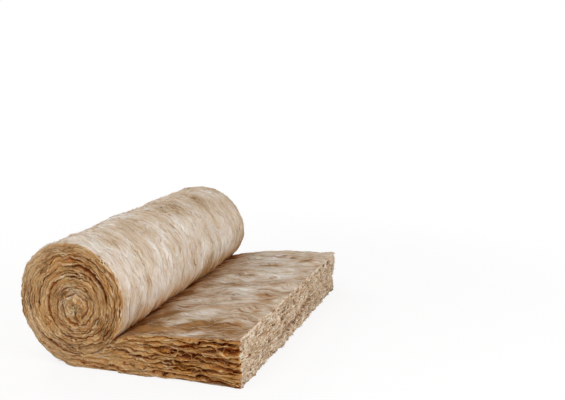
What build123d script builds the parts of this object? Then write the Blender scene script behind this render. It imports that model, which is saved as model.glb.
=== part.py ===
from build123d import *
import math
import os

# A blanket of glass wool, wound into a roll with its outer end laid out flat.
# X runs along the laid-out tail, Y along the roll's axis and Z up from the floor.
# The origin is on the floor, under the middle of the whole blanket.

# Driving dimensions, in millimetres and degrees.
blanket_width = 1200.0
blanket_thickness = 175.0
squeezed_thickness = 46.0
roll_radius = 205.0
tail_length = 630.0
cut_round = 6.0
nip_angle = 28.0
nip_opening = 9.0
turns = 7
outer_pitch = 38.0
pitch_kept_each_turn = 0.91
turns_lean = 0.2
turn_gap = 4.0
gap_depth = 40.0
plies = 9
slits_each_ply = 2
slit_opening = 7.0
slit_share = 0.2
first_slit = 0.26
last_slit = 0.86
slit_step = 0.382

# The roll stands on the layer that it squeezes, at the left end of the blanket.
axis_height = roll_radius + squeezed_thickness
axis_x = (roll_radius - tail_length) / 2


def around_axis(wound, radius):
    """The point at an angle wound clockwise from the nip, at a radius from the roll's axis."""
    angle = math.radians(wound - nip_angle)
    return Vector(-radius * math.sin(angle), axis_height - radius * math.cos(angle))


def gap_reach(half_turn):
    """How far the gap is from the axis after so many half turns inwards from the nip."""
    layers = (half_turn + 1) // 2
    wool = outer_pitch * (1 - pitch_kept_each_turn**layers) / (1 - pitch_kept_each_turn)
    if half_turn % 2 == 0:
        return roll_radius - wool * (1 - turns_lean)
    return roll_radius - wool * (1 + turns_lean)


def gap_side(offset):
    """One side of the gap between turns, as an arc for each half turn from the nip inwards."""
    arcs = []
    for half in range(2 * turns - 1):
        start = around_axis(180 * half, gap_reach(half) + offset)
        end = around_axis(180 * (half + 1), gap_reach(half + 1) + offset)
        centre = (start + end) / 2
        across = (start - centre).rotate(Axis.Z, -90)
        arcs.append(ThreePointArc(start, centre + across, end))
    return arcs


def ply_slit(tail_top, ply, slit):
    """A lens-shaped slit that follows one ply of the tail, where it has come apart."""
    shift = (ply * slit_step + slit / slits_each_ply) % 1
    middle = first_slit + (last_slit - first_slit) * shift
    left, centre, right = [
        Vector((tail_top @ along).X, (tail_top @ along).Y * ply / plies)
        for along in (middle - slit_share / 2, middle, middle + slit_share / 2)
    ]
    half_opening = Vector(0, slit_opening / 2)
    upper = ThreePointArc(left, centre + half_opening, right)
    lower = ThreePointArc(right, centre - half_opening, left)
    return make_face([upper, lower])


def side_profile(opened):
    """The blanket seen from its side, with the turns and plies open or closed."""
    nip = around_axis(0, roll_radius)
    throat = around_axis(0, roll_radius + turn_gap)
    left = around_axis(90 + nip_angle, roll_radius)
    roll_top = around_axis(180 + nip_angle, roll_radius)
    tail_angle = math.radians(nip_angle - nip_opening)
    top_corner = (tail_length - cut_round, blanket_thickness - cut_round)
    tail_top = Spline(
        throat,
        (0.29 * tail_length, 0.71 * blanket_thickness),
        (0.50 * tail_length, 0.90 * blanket_thickness),
        (0.75 * tail_length, 0.98 * blanket_thickness),
        (tail_length - cut_round, blanket_thickness),
        tangents=[(math.cos(tail_angle), math.sin(tail_angle)), (1, 0)],
    )
    outline = [
        Line((tail_length, 0), (0, 0)),
        EllipticalCenterArc(
            (0, axis_height), roll_radius, axis_height, start_angle=180, arc_size=90
        ),
        ThreePointArc(left, roll_top, nip),
        tail_top,
        CenterArc(top_corner, cut_round, 0, 90),
        Line((tail_length, blanket_thickness - cut_round), (tail_length, 0)),
    ]
    if not opened:
        return make_face([*outline, Line(nip, throat)])
    inside = gap_side(0)
    outside = gap_side(turn_gap)
    spiral = [*inside, *outside, Line(inside[-1] @ 1, outside[-1] @ 1)]
    slits = [
        ply_slit(tail_top, ply, slit) for ply in range(1, plies) for slit in range(slits_each_ply)
    ]
    return make_face([*outline, *spiral]) - slits


def wool_blanket():
    """The whole blanket, with its turns and plies open at both ends of the roll."""
    upright = Plane((axis_x, 0, 0), x_dir=(1, 0, 0), z_dir=(0, -1, 0))
    core = upright * side_profile(opened=False)
    open_end = upright * side_profile(opened=True)
    core_half = blanket_width / 2 - gap_depth
    near_end = extrude(open_end.moved(Location((0, -core_half, 0))), gap_depth)
    far_end = extrude(open_end.moved(Location((0, core_half, 0))), -gap_depth)
    return extrude(core, core_half, both=True) + near_end + far_end


os.makedirs("parts", exist_ok=True)
export_step(wool_blanket(), "parts/wool_blanket.step")
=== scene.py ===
import math

import bmesh
import bpy
import numpy
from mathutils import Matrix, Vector


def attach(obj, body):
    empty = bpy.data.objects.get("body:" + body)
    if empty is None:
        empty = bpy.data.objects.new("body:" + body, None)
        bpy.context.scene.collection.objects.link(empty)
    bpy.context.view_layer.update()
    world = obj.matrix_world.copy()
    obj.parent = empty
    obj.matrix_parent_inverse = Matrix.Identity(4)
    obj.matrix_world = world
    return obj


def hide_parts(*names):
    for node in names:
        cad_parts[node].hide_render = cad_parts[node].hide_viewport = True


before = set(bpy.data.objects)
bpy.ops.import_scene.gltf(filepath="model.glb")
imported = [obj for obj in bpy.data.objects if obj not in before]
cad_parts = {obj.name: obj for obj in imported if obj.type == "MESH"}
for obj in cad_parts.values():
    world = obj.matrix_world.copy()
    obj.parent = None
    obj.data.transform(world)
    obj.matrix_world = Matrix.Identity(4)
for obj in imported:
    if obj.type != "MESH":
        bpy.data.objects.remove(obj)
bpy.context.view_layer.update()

# The blanket, seen from its side. It is one piece of glass wool, 1.2 m wide, wound up under
# pressure and let go again. Its outer end lies flat and has swollen to full thickness, and the
# layer under the roll is pressed thin. Up to the mesh, all lengths are in millimetres.
half_width = 600.0
blanket_thickness = 175.0
full_plies = 10
roll_radius = 205.0
roll_axis_x = -212.5
roll_axis_z = 251.0
roll_axis = numpy.array([roll_axis_x, roll_axis_z])
tail_end_x = 417.5
nip_angle = 28.0
turns = 5
outer_pitch = 38.0
pitch_kept_each_turn = 0.91
turns_lean = 0.2
turn_columns = 192
tail_columns = 80
crease_columns = 3

# The gap between the turns opens where they have slipped off each other, as the angle wound
# from the nip, the angle that the slip takes up, and how much wider each side of the gap is.
closed_gap = 0.55
gap_waves = ((0.25, 9.0), (0.2, 23.0), (0.15, 4.1))
gap_slips = (
    (70, 26, 4.0), (300, 30, 0.8), (425, 20, 1.4), (505, 22, 1.6), (612, 36, 9.0), (700, 14, 1.0),
    (840, 24, 2.6), (885, 22, 1.6), (928, 14, 2.2), (1180, 30, 0.6), (1320, 24, 0.8), (1500, 40, 0.6),
)

# The top of the tail, as distances from the roll's axis and heights.
tail_top_x = numpy.array([98.0, 126.0, 177.0, 262.0, 363.0, 470.0, 545.0, 630.0])
tail_top_z = numpy.array([68.5, 97.0, 124.0, 147.0, 158.0, 166.0, 172.0, 175.0])
tail_top_slope = numpy.gradient(tail_top_z, tail_top_x)


def direction(wound):
    """The way out from the roll's axis, at an angle wound clockwise from the nip."""
    angle = math.radians(wound - nip_angle)
    return numpy.array([-math.sin(angle), -math.cos(angle)])


def reach(half_turn):
    """How far the gap between the turns is from the axis, after so many half turns."""
    layers = (half_turn + 1) // 2
    wool = outer_pitch * (1 - pitch_kept_each_turn ** layers) / (1 - pitch_kept_each_turn)
    return roll_radius - wool * (1 + turns_lean if half_turn % 2 else 1 - turns_lean)


def gap_line(wound):
    """The middle of the gap between two turns: half circles that shrink and lean to the nip."""
    half_turn = int(wound // 180)
    radius = (reach(half_turn) + reach(half_turn + 1)) / 2
    lean = (reach(half_turn) - reach(half_turn + 1)) / 2 * (-1 if half_turn % 2 else 1)
    return roll_axis + direction(0) * lean + direction(wound) * radius


def gap_half_width(wound):
    """Half the gap between two turns, at an angle wound from the nip."""
    waves = sum(amount * math.sin(wound / wave) for amount, wave in gap_waves)
    slips = sum(wider * math.exp(-((wound - at) / spread) ** 2) for at, spread, wider in gap_slips)
    return closed_gap + waves + slips


def roll_outline(wound):
    """The outside of the outer turn, from the floor under the nip round to the nip."""
    turned = math.radians(wound - nip_angle)
    if turned <= 0:
        return numpy.array([roll_axis_x - roll_axis_z * math.tan(turned), 0.0])
    high = roll_axis_z if turned < math.pi / 2 else roll_radius
    return numpy.array([roll_axis_x - roll_radius * math.sin(turned),
                        roll_axis_z - high * math.cos(turned)])


def tail_top(along):
    """The top of the tail, a smooth curve from the nip at 0 to the cut end at 1."""
    x = tail_top_x[0] + along * (tail_top_x[-1] - tail_top_x[0])
    k = min(int(numpy.searchsorted(tail_top_x, x, side="right")) - 1, len(tail_top_x) - 2)
    step = tail_top_x[k + 1] - tail_top_x[k]
    u = (x - tail_top_x[k]) / step
    height = (2 * u ** 3 - 3 * u ** 2 + 1) * tail_top_z[k]
    height += (u ** 3 - 2 * u ** 2 + u) * step * tail_top_slope[k]
    height += (3 * u ** 2 - 2 * u ** 3) * tail_top_z[k + 1]
    height += (u ** 3 - u ** 2) * step * tail_top_slope[k + 1]
    return numpy.array([roll_axis_x + x, height])


def tail_bottom(along):
    """The underside of the tail, on the floor."""
    start = roll_outline(0)[0]
    return numpy.array([start + along * (tail_end_x - start), 0.0])


# The outline runs along the top of the tail to the nip, into the crease and out again, round
# the roll, and back along the floor to the cut end.
wound_step = 360.0 / turn_columns
tail_steps = [(k / tail_columns) ** 1.15 for k in range(tail_columns + 1)]
outline = [tail_top(along) for along in reversed(tail_steps)]
crease_in = len(outline)
for k in range(1, crease_columns):
    wound = k * wound_step
    outline.append(gap_line(wound) + direction(wound) * gap_half_width(wound))
crease_bottom = len(outline)
outline.append(gap_line(crease_columns * wound_step))
for k in range(crease_columns - 1, 0, -1):
    wound = k * wound_step
    outline.append(gap_line(wound) - direction(wound) * gap_half_width(wound))
roll_start = len(outline)
outline += [roll_outline(k * wound_step) for k in range(turn_columns, -1, -1)]
floor_start = len(outline)
outline += [tail_bottom(along) for along in tail_steps[1:]]
outline = numpy.array(outline)
outline_steps = numpy.linalg.norm(numpy.diff(outline, axis=0), axis=1)
outline_run = numpy.concatenate([[0], numpy.cumsum(outline_steps)])
crease_run = outline_run[crease_bottom]

# The blanket's mesh. Both ends of the roll are built in columns across the wool, a skin joins
# them, and the cut end closes it. Every point keeps where it is along the skin and within the
# layers, so that the streaks and the plies can follow the wool round the roll.
rim_round = 7.0
rim_inset = 2.5
floor_inset = 1.0
layer_round = 4.0
cut_round = 3.0
round_zone = 9.0
edge_rows = (0.0, 2.5, 7.0)
row_spacing = 4.6
gap_depth = 6.0
crease_slope = 5.0
skin_margin = 15.0
skin_lines = 156
core_crumple = 9.0
core_rings = (
    (0.94, 4.0), (0.87, 1.0), (0.77, 0.0), (0.69, 3.0), (0.62, 0.0), (0.52, -2.0),
    (0.44, 3.0), (0.36, 0.0), (0.27, -1.0), (0.18, 3.0), (0.09, 0.0),
)
on_skin, on_rim, on_side, on_cut_end = 0.0, 0.5, 1.0, 2.0
side_from_rim = 0.62
side_each_mm = 0.045
points, skin_place, layer_place, cut_face, lift, triangles = [], [], [], [], [], []
side_lines = []


def add_point(place, y, run, layer, face, lifted):
    """Adds a point with its place on the skin and in the layers. A lifted one takes relief."""
    points.append((place[0], y, place[1]))
    skin_place.append((run, y, 0.0))
    layer_place.append(layer)
    cut_face.append(face)
    lift.append(lifted)
    return len(points) - 1


def join_columns(first, first_at, second, second_at):
    """Fills the strip between two columns of points that may differ in number."""
    i = k = 0
    while i < len(first) - 1 or k < len(second) - 1:
        if k == len(second) - 1 or (i < len(first) - 1 and first_at[i + 1] <= second_at[k + 1]):
            corner = (first[i], first[i + 1], second[k])
            i += 1
        else:
            corner = (first[i], second[k + 1], second[k])
            k += 1
        if len(set(corner)) == 3:
            triangles.append(corner)


def rows_across(thickness):
    """Distances from the outer edge of a layer, closer together at its rounded edges."""
    flat = thickness - 2 * edge_rows[-1]
    count = max(int(round(flat / row_spacing)), 1)
    middle = [edge_rows[-1] + flat * k / count for k in range(count + 1)]
    return [*edge_rows[:-1], *middle, *(thickness - row for row in reversed(edge_rows[:-1]))]


def rounded(from_edge, depth):
    """How far a rounded edge has fallen back, at a distance from the edge."""
    return depth * max(0.0, 1 - from_edge / round_zone) ** 2


def plies(thickness):
    """How many plies show across a layer: they close up where the wool is pressed thin."""
    return full_plies * (thickness / blanket_thickness) ** 0.8


def side_column(end, outer, inner, outer_rim, inner_rim, run, along, outer_wall, inner_wall):
    """One column of an end of the blanket, with the walls of the gaps beside it."""
    thickness = float(numpy.linalg.norm(inner - outer))
    across = (inner - outer) / thickness
    column = [point for point, place in outer_wall]
    at = [place for point, place in outer_wall]
    for row in rows_across(thickness):
        sunk = 0.0
        from_rim = round_zone
        for rim, from_edge in ((outer_rim, row), (inner_rim, thickness - row)):
            sunk += rounded(from_edge, layer_round if rim is None else rim_round)
            if rim is not None:
                from_rim = min(from_rim, from_edge)
        if row == 0 and outer_rim is not None:
            column.append(outer_rim)
        elif row == thickness and inner_rim is not None:
            column.append(inner_rim)
        else:
            layer = (along, plies(thickness) * row / thickness, end * half_width)
            face = min(on_side, side_from_rim + side_each_mm * from_rim)
            y = end * (half_width - sunk)
            column.append(add_point(outer + across * row, y, run, layer, face, 1.0))
        at.append(row / thickness)
    column += [point for point, place in inner_wall]
    at += [place for point, place in inner_wall]
    return column, at


def wall_point(end, place, depth, run, along, ply):
    """A point on the wall or the floor of a gap, which takes no relief."""
    y = end * (half_width - layer_round - depth)
    return add_point(place, y, run, (along, ply, y), on_side, 0.0)


def build_rim(end):
    """The points where the skin turns over to an end face, a little inside the outline."""
    rim = []
    for k, place in enumerate(outline):
        inside = place.copy()
        if roll_start <= k < floor_start and place[1] > 0:
            inside += (roll_axis - place) / numpy.linalg.norm(roll_axis - place) * rim_inset
        elif k < crease_in:
            inside[1] -= rim_inset
        elif k >= floor_start:
            inside[1] += floor_inset
        y = end * (half_width - rim_round)
        rim.append(add_point(inside, y, outline_run[k], (0, 0, 0), on_rim, 1.0))
    return rim


def build_tail_side(end, rim):
    """The side of the tail, from the cut end to the nip. Returns its first and last columns."""
    first = previous = None
    for k in range(tail_columns, 0, -1):
        top = tail_top(tail_steps[k])
        bottom = tail_bottom(tail_steps[k])
        top_rim = rim[tail_columns - k]
        bottom_rim = rim[floor_start + k - 1]
        along = outline_run[tail_columns - k]
        if end < 0:
            side_lines.append((bottom, top))
        column = side_column(end, bottom, top, bottom_rim, top_rim, along, along, [], [])
        layer_place[bottom_rim] = (along, 0.0, end * half_width)
        layer_place[top_rim] = (along, plies(top[1]), end * half_width)
        if previous:
            join_columns(*previous, *column)
        else:
            first = column
        previous = column
    return first, previous


def gap_depth_at(wound, columns_in):
    """How deep the gap is cut: it deepens inwards from the crease, and where it is wide."""
    return min(gap_depth + 3 * gap_half_width(wound), layer_round + crease_slope * columns_in)


def build_turns(end, rim, previous):
    """The side of the wound turns, from the nip inwards, and the core in their middle."""
    floor_of_gap = {}
    last = turn_columns * turns
    for j in range(last + 1):
        wound = j * wound_step
        before = wound - 360
        in_turns = j - turn_columns
        if in_turns < 0:
            along = outline_run[tail_columns] + wound * math.radians(1) * (roll_radius - 20)
        else:
            from_axis = numpy.linalg.norm(gap_line(wound) - roll_axis)
            along += wound_step * math.radians(1) * from_axis
        outer_rim = inner_rim = None
        outer_wall, inner_wall = [], []
        if in_turns <= 0:
            outer = roll_outline(wound)
            outer_rim = rim[floor_start - 1 - j]
            run = outline_run[floor_start - 1 - j]
        else:
            outer = gap_line(before) - direction(before) * gap_half_width(before)
            if in_turns < crease_columns:
                outer_rim = rim[roll_start - in_turns]
            else:
                outer_wall.append((floor_of_gap[in_turns], -0.2))
        inner = gap_line(wound) + direction(wound) * gap_half_width(wound)
        if j == 0:
            inner_rim = rim[tail_columns]
            inner = tail_top(0)
        elif j < crease_columns:
            inner_rim = rim[tail_columns + j]
        elif j == crease_columns:
            inner_wall.append((rim[crease_bottom], 1.2))
            floor_of_gap[j] = rim[crease_bottom]
        if end < 0:
            side_lines.append((outer, inner))
        ply_count = plies(float(numpy.linalg.norm(inner - outer)))
        if in_turns > crease_columns:
            deep = gap_depth_at(before, in_turns - crease_columns)
            wall = wall_point(end, outer, deep * 0.45, run, along, 0)
            outer_wall.append((wall, -0.1))
        if j > crease_columns:
            deep = gap_depth_at(wound, j - crease_columns)
            floor_of_gap[j] = wall_point(end, gap_line(wound), deep, run, along, ply_count)
            wall = wall_point(end, inner, deep * 0.45, run, along, ply_count)
            inner_wall = [(wall, 1.1), (floor_of_gap[j], 1.2)]
        column = side_column(end, outer, inner, outer_rim, inner_rim, run, along, outer_wall, inner_wall)
        if outer_rim is not None:
            layer_place[outer_rim] = (along, 0.0, end * half_width)
        if inner_rim is not None:
            layer_place[inner_rim] = (along, ply_count, end * half_width)
        join_columns(*previous, *column)
        previous = column
    loop = [floor_of_gap[j] for j in range(last - turn_columns, last + 1)] + column[0][-2:0:-1]
    build_core(end, loop, run, along)


def build_core(end, loop, run, along):
    """The crumpled start of the blanket, in rings that close up to the middle of the roll."""
    edge = numpy.array([[points[k][0], points[k][2]] for k in loop])
    middle = edge.mean(axis=0)
    for share, depth in core_rings:
        y = end * (half_width - depth)
        folds = 1.6 if share > 0.8 else 0.5
        ring = []
        for n in range(len(loop)):
            ripple = numpy.array([math.sin(0.11 * n + 7 * share), math.cos(0.15 * n - 5 * share)])
            place = middle + (edge[n] - middle) * share + core_crumple * (1 - share) * ripple
            ring.append(add_point(place, y, run, (along + 1.5 * n, folds, y), on_side, 1.0))
        for n in range(len(loop)):
            after = (n + 1) % len(loop)
            triangles.append((loop[n], loop[after], ring[after]))
            triangles.append((loop[n], ring[after], ring[n]))
        loop = ring
    y = end * (half_width - 3)
    tip = add_point(middle, y, run, (along, 0.0, y), on_side, 1.0)
    for n in range(len(loop)):
        triangles.append((loop[n], loop[(n + 1) % len(loop)], tip))


near_rim = build_rim(-1)
near_corner, near_tail = build_tail_side(-1, near_rim)
build_turns(-1, near_rim, near_tail)
far_rim = build_rim(1)
far_corner, far_tail = build_tail_side(1, far_rim)
build_turns(1, far_rim, far_tail)

# The skin between the two ends, in lines that run along the outline.
line_y = numpy.linspace(-half_width + skin_margin, half_width - skin_margin, skin_lines)
lines = [near_rim]
for y in line_y:
    line = []
    for k, place in enumerate(outline):
        layer = (*layer_place[near_rim[k]][:2], y)
        lifted = 0.0 if place[1] <= 0 else 1.0
        line.append(add_point(place, y, outline_run[k], layer, on_skin, lifted))
    lines.append(line)
lines.append(far_rim)
for first, second in zip(lines, lines[1:]):
    for k in range(len(outline) - 1):
        triangles.append((first[k], first[k + 1], second[k + 1]))
        triangles.append((first[k], second[k + 1], second[k]))

# The cut end, square across the blanket.
rows = rows_across(blanket_thickness)
previous = near_corner
for y, line in zip(line_y, lines[1:]):
    column = [line[-1]]
    for row in rows[1:-1]:
        sunk = rounded(min(row, blanket_thickness - row), cut_round)
        layer = (0.0, plies(blanket_thickness) * row / blanket_thickness, y)
        column.append(add_point((tail_end_x - sunk, row), y, 0.0, layer, on_cut_end, 1.0))
    column.append(line[0])
    column = (column, [row / blanket_thickness for row in rows])
    join_columns(*previous, *column)
    previous = column
join_columns(*previous, *far_corner)

points = numpy.array(points)
skin_place = numpy.array(skin_place)
layer_place = numpy.array(layer_place)
cut_face = numpy.array(cut_face)
lift = numpy.array(lift)
is_cut_end = cut_face == on_cut_end
is_side = (cut_face > 0.6) & (cut_face <= on_side)
is_skin = cut_face < 0.6

# Slits where the plies of the tail have come apart, as x, height, half length and half opening.
# A slit opens in the relief and takes painted shade; the walls of the gaps between the turns take the same
# painted shade.
tail_slits = (
    (40, 80, 90, 4), (175, 74, 60, 3), (335, 146, 75, 4), (345, 120, 80, 5), (300, 98, 90, 4.5),
    (372, 66, 50, 4.5), (318, 16, 60, 6), (225, 126, 60, 4), (120, 118, 60, 2.5), (250, 84, 60, 4),
    (205, 104, 50, 4), (290, 50, 60, 3.5), (385, 136, 40, 3.5), (160, 52, 60, 2.5), (385, 92, 40, 4),
)
slit_width = 1.4
gap_wall_shade = 0.75
x, y, z = points.T
open_slit = numpy.zeros(len(points))
for slit_x, height, half_length, half_opening in tail_slits:
    bow = 6 * numpy.sin((x - slit_x) / (26 + height / 9) + height)
    bow += 2 * numpy.sin(x / (9 + slit_x / 99) + slit_x)
    apart = ((x - slit_x) / half_length) ** 2 + ((z - height - bow) / (half_opening * slit_width)) ** 2
    open_slit = numpy.maximum(open_slit, numpy.exp(-apart ** 2))
open_slit[~is_side] = 0
open_slit[is_side & (lift == 0)] = gap_wall_shade

# A long ragged tear low on the cut end, with the foot of the end standing out below it.
tear_y = (-230, -160, -60, 10, 90, 150, 260)
tear_z = (34, 44, 50, 46, 60, 72, 70)
tear_depth = 12
foot_out = 8
tear_height = numpy.interp(y, tear_y, tear_z) + 4 * numpy.sin(y / 13) + 2.5 * numpy.sin(y / 5.3)
tear_length = numpy.clip((y + 240) / 50, 0, 1) * numpy.clip((230 - y) / 40, 0, 1)
below = tear_height - z
tear = is_cut_end * tear_length * numpy.exp(-(below / 6) ** 2)
foot = is_cut_end * tear_length * numpy.clip(below / 8, 0, 1) * numpy.clip(z / 6, 0, 1)
points[:, 0] += foot_out * foot - tear_depth * tear
# The tear also takes painted shade in the cut end's colour.
open_slit = numpy.where(is_cut_end, tear, open_slit)

# Which way the fibres lie: along the skin, round the roll's end faces, and across the cut end.
run = skin_place[:, 0]
outline_slope = numpy.gradient(outline, outline_run, axis=0)
from_axis = points[:, [0, 2]] - roll_axis
distance = numpy.linalg.norm(from_axis, axis=1)
is_wound = is_side & ((distance < roll_radius) | (from_axis[:, 0] < 60))
grain = numpy.zeros((len(points), 3))
grain[:, 0] = numpy.interp(run, outline_run, outline_slope[:, 0])
grain[:, 2] = numpy.interp(run, outline_run, outline_slope[:, 1])
grain[is_wound, 0] = from_axis[is_wound, 1]
grain[is_wound, 2] = -from_axis[is_wound, 0]
grain[is_side & ~is_wound] = (1, 0, 0.1)
grain[is_cut_end] = (0, 1, 0)

# Soft patches of the skin, brown where the binder shows and white where fibres have gathered, as
# the run from the crease, the place along the roll, the half sizes, and how pale. The pale patches at
# 600 and 620 along, on the top left of the roll's near half, are painted light where it is brightest.
skin_patches = (
    (-363, -559, 34, 26, 0.62), (-318, -350, 62, 46, 0.40), (-415, -470, 80, 34, -0.46),
    (-350, -500, 42, 26, -0.30), (-480, -520, 40, 24, -0.22), (-150, -91, 50, 60, -0.26),
    (-190, -380, 60, 60, -0.34), (-225, -560, 60, 30, -0.22), (-290, -445, 46, 13, 0.36),
    (-380, -25, 90, 46, 0.30), (-372, 335, 46, 22, -0.42), (-250, 250, 60, 26, -0.26),
    (-480, 432, 26, 30, -0.46), (-474, 53, 34, 28, -0.26), (-490, -200, 40, 60, -0.20),
    (-430, 190, 70, 30, 0.24), (-330, 470, 60, 40, 0.20), (-300, 60, 40, 18, -0.24),
    (-540, -350, 30, 80, 0.12), (-250, -200, 70, 30, 0.18), (271, -421, 34, 18, -0.40),
    (212, -94, 34, 14, -0.42), (180, -470, 40, 22, -0.30), (197, -211, 26, 20, -0.30),
    (318, -565, 66, 20, 0.26), (244, 119, 56, 26, 0.38), (278, -223, 40, 24, 0.26),
    (469, 137, 46, 44, -0.46), (456, -55, 46, 40, -0.26), (464, 332, 40, 46, -0.44),
    (437, -226, 80, 26, -0.26), (462, -451, 44, 40, -0.18), (224, 336, 60, 60, 0.22),
    (362, 150, 40, 60, 0.10), (355, -450, 60, 24, 0.16), (620, -200, 60, 200, 0.20),
    (-232, -562, 18, 10, 0.34), (-246, -536, 18, 10, 0.34), (-260, -510, 18, 10, 0.34),
    (-275, -482, 18, 10, 0.34), (-215, -520, 40, 40, -0.30), (-180, -300, 40, 120, -0.16),
    (-175, 150, 40, 160, -0.16), (230, -575, 110, 60, -0.26), (600, -400, 90, 120, 0.16),
    (330, -60, 60, 60, -0.16), (150, -260, 50, 160, -0.18), (150, 200, 50, 200, -0.16),
    (700, 100, 60, 200, 0.14), (310, 400, 90, 90, 0.16), (420, 250, 40, 50, 0.14),
    (520, 60, 44, 200, -0.20), (480, -330, 60, 90, -0.16), (400, 480, 60, 60, -0.20),
)
roll_patch_strength = 0.8
tail_patch_strength = 0.9
skin_at = skin_place[:, :2] - [crease_run, 0]
skin_at[:, 0] += 9 * numpy.sin(skin_at[:, 1] / 11.0) + 14 * numpy.sin(skin_at[:, 1] / 31.0)
skin_at[:, 1] += 7 * numpy.sin(skin_at[:, 0] / 27.0) + 9 * numpy.sin(skin_at[:, 0] / 61.0)
paleness = numpy.zeros(len(points))
for along, patch_y, half_length, half_breadth, amount in skin_patches:
    apart = ((skin_at[:, 0] - along) / half_length) ** 2
    apart += ((skin_at[:, 1] - patch_y) / half_breadth) ** 2
    strength = roll_patch_strength if along > 0 else tail_patch_strength
    paleness += strength * amount * numpy.exp(-apart)

# A tuft stands up on top of the roll near its end, and the tail's far edge is swollen.
tuft_height = 11
swelling = 10
from_tuft = ((skin_at[:, 0] - 590) / 34) ** 2 + ((skin_at[:, 1] + 520) / 40) ** 2
tuft = numpy.where(is_skin, tuft_height * numpy.exp(-from_tuft), 0)
points[:, [0, 2]] += tuft[:, None] * from_axis / distance[:, None]
swollen = numpy.exp(-((points[:, 0] - 170) / 120) ** 2 - ((points[:, 1] - 600) / 160) ** 2)
points[:, 2] += swelling * swollen * numpy.clip(points[:, 2] / 160, 0, 1) * (from_axis[:, 0] > 120)

# Few loose fibres lie near the crease, where the roll meets the tail, or on the tail.
from_crease = numpy.abs(run - crease_run)
fluff = numpy.where(is_skin, numpy.clip((from_crease - 170) / 150, 0, 1), 1) * (lift > 0)
fluff[is_skin & (run < crease_run)] *= 0.1

# The far end of the roll is wound a little tighter, and stands a little further back and up. The
# far corner of the tail is a little further out and thinner.
far_roll_back = 23
far_roll_up = 9
far_roll_tighter = 0.034
far_tail_out = 11
far_tail_thinner = 0.017
tail_starts = 300


def wind_far_end(places):
    """Moves points by their share of the way to the far end."""
    from_axis = places[:, 0] - roll_axis_x
    share = (places[:, 1] + half_width) / (2 * half_width)
    in_roll = numpy.clip((tail_starts - from_axis) / 240, 0, 1)
    in_roll = share * in_roll * in_roll * (3 - 2 * in_roll)
    in_tail = share * numpy.clip((from_axis - tail_starts) / 330, 0, 1)
    raised = far_roll_up - far_roll_tighter * (places[:, 2] - roll_axis_z)
    raised *= numpy.minimum(places[:, 2] / 60, 1)
    places[:, 0] += far_tail_out * in_tail - in_roll * (far_roll_back + far_roll_tighter * from_axis)
    places[:, 2] += in_roll * raised - far_tail_thinner * in_tail * places[:, 2]


wind_far_end(points)

# The foot of the cut end is ragged.
ragged_by = 2.2
foot = numpy.clip((points[:, 0] - 405) / 12, 0, 1) * numpy.clip(1 - points[:, 2] / 60, 0, 1)
ragged = sum(numpy.sin(points[:, 1] / wave + wave) for wave in (4.3, 9.1, 17.0, 44.0))
points[:, 0] += ragged_by * ragged * foot


def store_on_points(mesh, values):
    """Keeps numbers and vectors on a mesh's points, where trees and materials can read them."""
    for name, numbers in values.items():
        numbers = numpy.array(numbers, dtype=numpy.float32)
        kind, key = ("FLOAT_VECTOR", "vector") if numbers.ndim == 2 else ("FLOAT", "value")
        attribute = mesh.attributes.new(name, kind, "POINT")
        attribute.data.foreach_set(key, numbers.ravel())


def new_piece(name, mesh):
    """Puts a mesh into the scene as a piece at the origin."""
    piece = bpy.data.objects.new(name, mesh)
    bpy.context.scene.collection.objects.link(piece)
    return piece


def face_outwards(mesh):
    """Turns the faces of a closed mesh outwards."""
    shape = bmesh.new()
    shape.from_mesh(mesh)
    bmesh.ops.recalc_face_normals(shape, faces=shape.faces)
    shape.to_mesh(mesh)
    shape.free()


blanket_mesh = bpy.data.meshes.new("glass_wool_blanket")
blanket_mesh.from_pydata((points / 1000).tolist(), [], triangles)
store_on_points(blanket_mesh, {
    "skin_place": skin_place / 1000,
    "layer_place": layer_place / [1000, 1, 1000],
    "grain": grain,
    "cut_face": cut_face,
    "lift": lift,
    "open_slit": open_slit,
    "fluff": fluff,
    "paleness": paleness,
})
face_outwards(blanket_mesh)
blanket = new_piece("glass_wool_blanket", blanket_mesh)

# The relief of the wool. The skin is lumpy and combed along the blanket. On the two side faces
# the plies stand out as wavy ridges and open in places, and the cut end is pitted where the
# blade tore the wool. Its sizes are in metres.
relief_sizes = {
    "Lump Size": 0.17, "Lump Height": 0.013, "Dent Height": 0.016, "Streak Height": 0.0065,
    "Ply Height": 0.0040, "Opening Depth": 0.008, "Slit Depth": 0.018, "Slip": 0.012,
    "Wander": 0.016, "Pit Depth": 0.0036,
}
skin_unit = (1000, 1000, 1000)
layer_unit = (1000, blanket_thickness / full_plies, 1000)
middle_grey = (0.5, 0.5, 0.5)


def add_node(tree, kind, settings=None, inputs=None):
    """Adds one node, with its settings, and fills or links its inputs."""
    node = tree.nodes.new(kind)
    for name, value in (settings or {}).items():
        setattr(node, name, value)
    for key, value in (inputs or {}).items():
        if isinstance(value, bpy.types.Node):
            value = value.outputs[0]
        if isinstance(value, bpy.types.NodeSocket):
            tree.links.new(value, node.inputs[key])
        else:
            node.inputs[key].default_value = value
    return node


def new_tree(name, inputs):
    """Starts a tree that takes a mesh and named inputs. Returns it with what it is given."""
    tree = bpy.data.node_groups.new(name, "GeometryNodeTree")
    tree.interface.new_socket("Geometry", in_out="INPUT", socket_type="NodeSocketGeometry")
    for input_name, kind in inputs.items():
        tree.interface.new_socket(input_name, in_out="INPUT", socket_type="NodeSocket" + kind)
    tree.interface.new_socket("Geometry", in_out="OUTPUT", socket_type="NodeSocketGeometry")
    return tree, add_node(tree, "NodeGroupInput").outputs


def finish_tree(tree, geometry, material):
    """Ends a tree with real geometry in its material."""
    real = add_node(tree, "GeometryNodeRealizeInstances", None, {"Geometry": geometry})
    dressed = add_node(tree, "GeometryNodeSetMaterial", None, {"Geometry": real, "Material": material})
    add_node(tree, "NodeGroupOutput", None, {"Geometry": dressed})


def cells(size, unit=1000):
    """How many cells of a pattern fit in a metre or another unit, rounded, from a size in mm."""
    count = unit / size
    return round(count, 2 if count < 1 else 1 if count < 10 else 0)


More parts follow.
